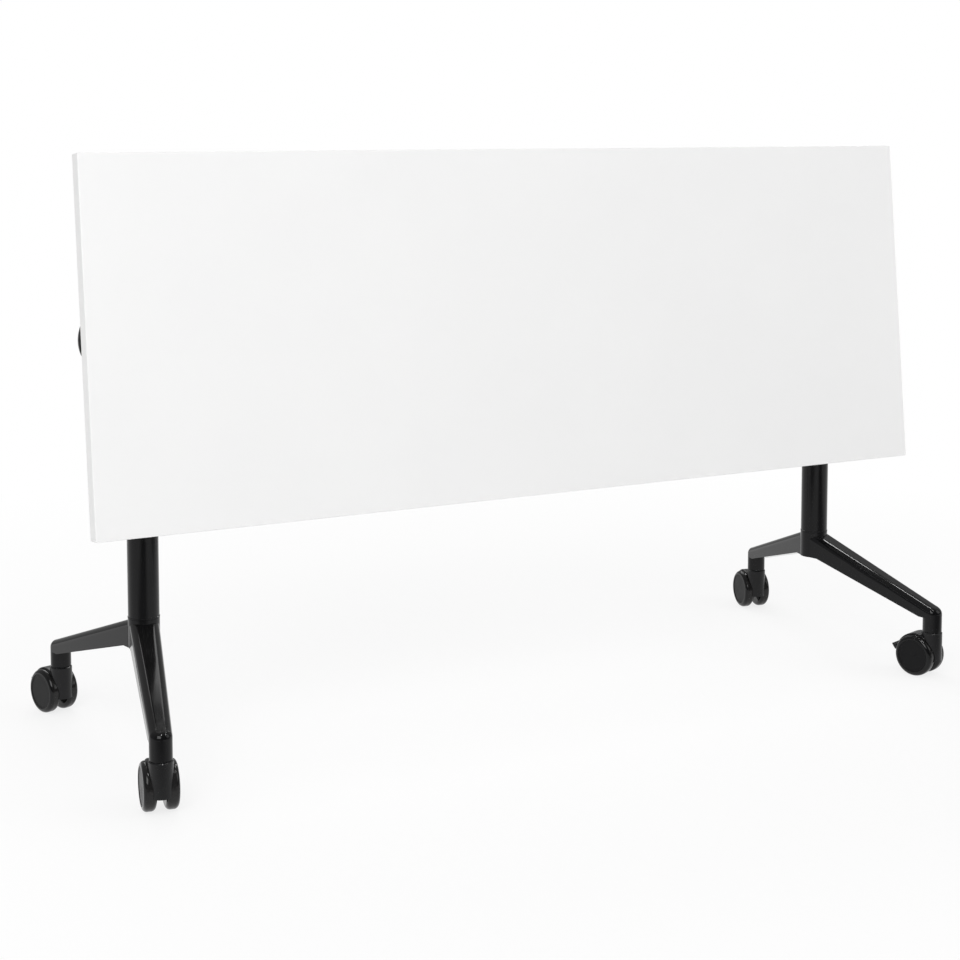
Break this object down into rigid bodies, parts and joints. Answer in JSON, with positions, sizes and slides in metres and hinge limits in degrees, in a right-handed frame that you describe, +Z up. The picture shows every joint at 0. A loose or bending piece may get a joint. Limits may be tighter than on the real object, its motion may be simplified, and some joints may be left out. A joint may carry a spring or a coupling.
{
  "type": "flip-top table",
  "caption": "White rectangular flip-top table folded upright on black T-legs with round columns, splayed feet and twin-wheel casters.",
  "frame": {"origin": "on the floor, in the middle of the folded table's box", "axes": "+X along the worktop, +Z up, -Y the way the folded worktop's face looks"},
  "size_m": [1.6, 0.6442, 0.9865],
  "materials": {
    "white_laminate": "satin white melamine",
    "white_edge": "satin white edge strip",
    "board_core": "raw particle board",
    "black_casting": "gloss black coat on cast aluminium",
    "black_steel": "gloss black powder coat",
    "black_moulding": "satin black",
    "black_wheel": "gloss black nylon",
    "grey_disc": "satin dark grey",
    "bush_nylon": "natural nylon",
    "black_rubber": "matte",
    "zinc_steel": "zinc plated"
  },
  "bodies": {
    "frame": {"caster_stems": "zinc_steel", "column_plugs": "zinc_steel", "crossbar": "black_steel", "crossbar_screws": "zinc_steel", "foot_bolts": "zinc_steel", "head_screws": "zinc_steel", "hinge_bushes": "bush_nylon", "left_collar": "black_moulding", "left_column": "black_steel", "left_foot": "black_casting", "left_hinge_head": "black_casting", "right_collar": "black_moulding", "right_column": "black_steel", "right_foot": "black_casting", "right_hinge_head": "black_casting", "stop_pads": "black_rubber", "striker_pins": "zinc_steel"},
    "top": {"worktop_core": "board_core", "worktop_laminate": "white_laminate", "underside_laminate": "white_laminate", "edge_band": "white_edge", "left_bracket": "black_steel", "right_bracket": "black_steel", "bracket_screws": "zinc_steel", "hinge_pins": "zinc_steel", "hinge_nuts": "zinc_steel", "leaf_springs": "zinc_steel"},
    "release": {"release_bar": "zinc_steel", "latch_hooks": "zinc_steel", "left_handle": "black_moulding", "right_handle": "black_moulding"},
    "left_rear_caster": {"left_rear_caster_housing": "black_wheel", "left_rear_caster_axle": "zinc_steel"},
    "left_rear_caster_left_wheel": {"left_rear_caster_left_wheel": "black_wheel", "left_rear_caster_left_disc": "grey_disc"},
    "left_rear_caster_right_wheel": {"left_rear_caster_right_wheel": "black_wheel", "left_rear_caster_right_disc": "grey_disc"},
    "left_rear_caster_pedal": {"left_rear_caster_pedal": "black_moulding"},
    "left_front_caster": {"left_front_caster_housing": "black_wheel", "left_front_caster_axle": "zinc_steel"},
    "left_front_caster_left_wheel": {"left_front_caster_left_wheel": "black_wheel", "left_front_caster_left_disc": "grey_disc"},
    "left_front_caster_right_wheel": {"left_front_caster_right_wheel": "black_wheel", "left_front_caster_right_disc": "grey_disc"},
    "left_front_caster_pedal": {"left_front_caster_pedal": "black_moulding"},
    "right_rear_caster": {"right_rear_caster_housing": "black_wheel", "right_rear_caster_axle": "zinc_steel"},
    "right_rear_caster_left_wheel": {"right_rear_caster_left_wheel": "black_wheel", "right_rear_caster_left_disc": "grey_disc"},
    "right_rear_caster_right_wheel": {"right_rear_caster_right_wheel": "black_wheel", "right_rear_caster_right_disc": "grey_disc"},
    "right_rear_caster_pedal": {"right_rear_caster_pedal": "black_moulding"},
    "right_front_caster": {"right_front_caster_housing": "black_wheel", "right_front_caster_axle": "zinc_steel"},
    "right_front_caster_left_wheel": {"right_front_caster_left_wheel": "black_wheel", "right_front_caster_left_disc": "grey_disc"},
    "right_front_caster_right_wheel": {"right_front_caster_right_wheel": "black_wheel", "right_front_caster_right_disc": "grey_disc"},
    "right_front_caster_pedal": {"right_front_caster_pedal": "black_moulding"}
  },
  "joints": [
    {"name": "flip", "type": "hinge", "parent": "frame", "child": "top", "pos_m": [0, -0.05062, 0.6583], "axis": [-1, 0, 0], "range_deg": [0, 83.84]},
    {"name": "release", "type": "hinge", "parent": "top", "child": "release", "pos_m": [0, -0.07748, 0.73563], "axis": [-1, 0, 0], "range_deg": [0, 15], "stiffness_Nm_per_rad": 1, "springref_deg": -17.19, "deforming": ["leaf_springs"]},
    {"name": "left_rear_swivel", "type": "hinge", "parent": "frame", "child": "left_rear_caster", "pos_m": [-0.748, 0.24488, 0.084], "axis": [0, 0, 1], "continuous": true},
    {"name": "left_rear_left_roll", "type": "hinge", "parent": "left_rear_caster", "child": "left_rear_caster_left_wheel", "pos_m": [-0.75489, 0.26891, 0.038], "axis": [0.9613, 0.2756, 0], "continuous": true},
    {"name": "left_rear_right_roll", "type": "hinge", "parent": "left_rear_caster", "child": "left_rear_caster_right_wheel", "pos_m": [-0.75489, 0.26891, 0.038], "axis": [0.9613, 0.2756, 0], "continuous": true},
    {"name": "left_rear_brake", "type": "hinge", "parent": "left_rear_caster", "child": "left_rear_caster_pedal", "pos_m": [-0.76151, 0.29198, 0.045], "axis": [-0.9613, -0.2756, 0], "range_deg": [0, 14]},
    {"name": "left_front_swivel", "type": "hinge", "parent": "frame", "child": "left_front_caster", "pos_m": [-0.748, -0.30312, 0.084], "axis": [0, 0, 1], "continuous": true},
    {"name": "left_front_left_roll", "type": "hinge", "parent": "left_front_caster", "child": "left_front_caster_left_wheel", "pos_m": [-0.74366, -0.2785, 0.038], "axis": [0.9848, -0.1736, 0], "continuous": true},
    {"name": "left_front_right_roll", "type": "hinge", "parent": "left_front_caster", "child": "left_front_caster_right_wheel", "pos_m": [-0.74366, -0.2785, 0.038], "axis": [0.9848, -0.1736, 0], "continuous": true},
    {"name": "left_front_brake", "type": "hinge", "parent": "left_front_caster", "child": "left_front_caster_pedal", "pos_m": [-0.73949, -0.25486, 0.045], "axis": [-0.9848, 0.1736, 0], "range_deg": [0, 14]},
    {"name": "right_rear_swivel", "type": "hinge", "parent": "frame", "child": "right_rear_caster", "pos_m": [0.748, 0.24488, 0.084], "axis": [0, 0, 1], "continuous": true},
    {"name": "right_rear_left_roll", "type": "hinge", "parent": "right_rear_caster", "child": "right_rear_caster_left_wheel", "pos_m": [0.7532, 0.26933, 0.038], "axis": [0.9781, -0.2079, 0], "continuous": true},
    {"name": "right_rear_right_roll", "type": "hinge", "parent": "right_rear_caster", "child": "right_rear_caster_right_wheel", "pos_m": [0.7532, 0.26933, 0.038], "axis": [0.9781, -0.2079, 0], "continuous": true},
    {"name": "right_rear_brake", "type": "hinge", "parent": "right_rear_caster", "child": "right_rear_caster_pedal", "pos_m": [0.75819, 0.29281, 0.045], "axis": [-0.9781, 0.2079, 0], "range_deg": [0, 14]},
    {"name": "right_front_swivel", "type": "hinge", "parent": "frame", "child": "right_front_caster", "pos_m": [0.748, -0.30312, 0.084], "axis": [0, 0, 1], "continuous": true},
    {"name": "right_front_left_roll", "type": "hinge", "parent": "right_front_caster", "child": "right_front_caster_left_wheel", "pos_m": [0.74028, -0.27934, 0.038], "axis": [0.9511, 0.309, 0], "continuous": true},
    {"name": "right_front_right_roll", "type": "hinge", "parent": "right_front_caster", "child": "right_front_caster_right_wheel", "pos_m": [0.74028, -0.27934, 0.038], "axis": [0.9511, 0.309, 0], "continuous": true},
    {"name": "right_front_brake", "type": "hinge", "parent": "right_front_caster", "child": "right_front_caster_pedal", "pos_m": [0.73286, -0.25652, 0.045], "axis": [-0.9511, -0.309, 0], "range_deg": [0, 14]}
  ]
}
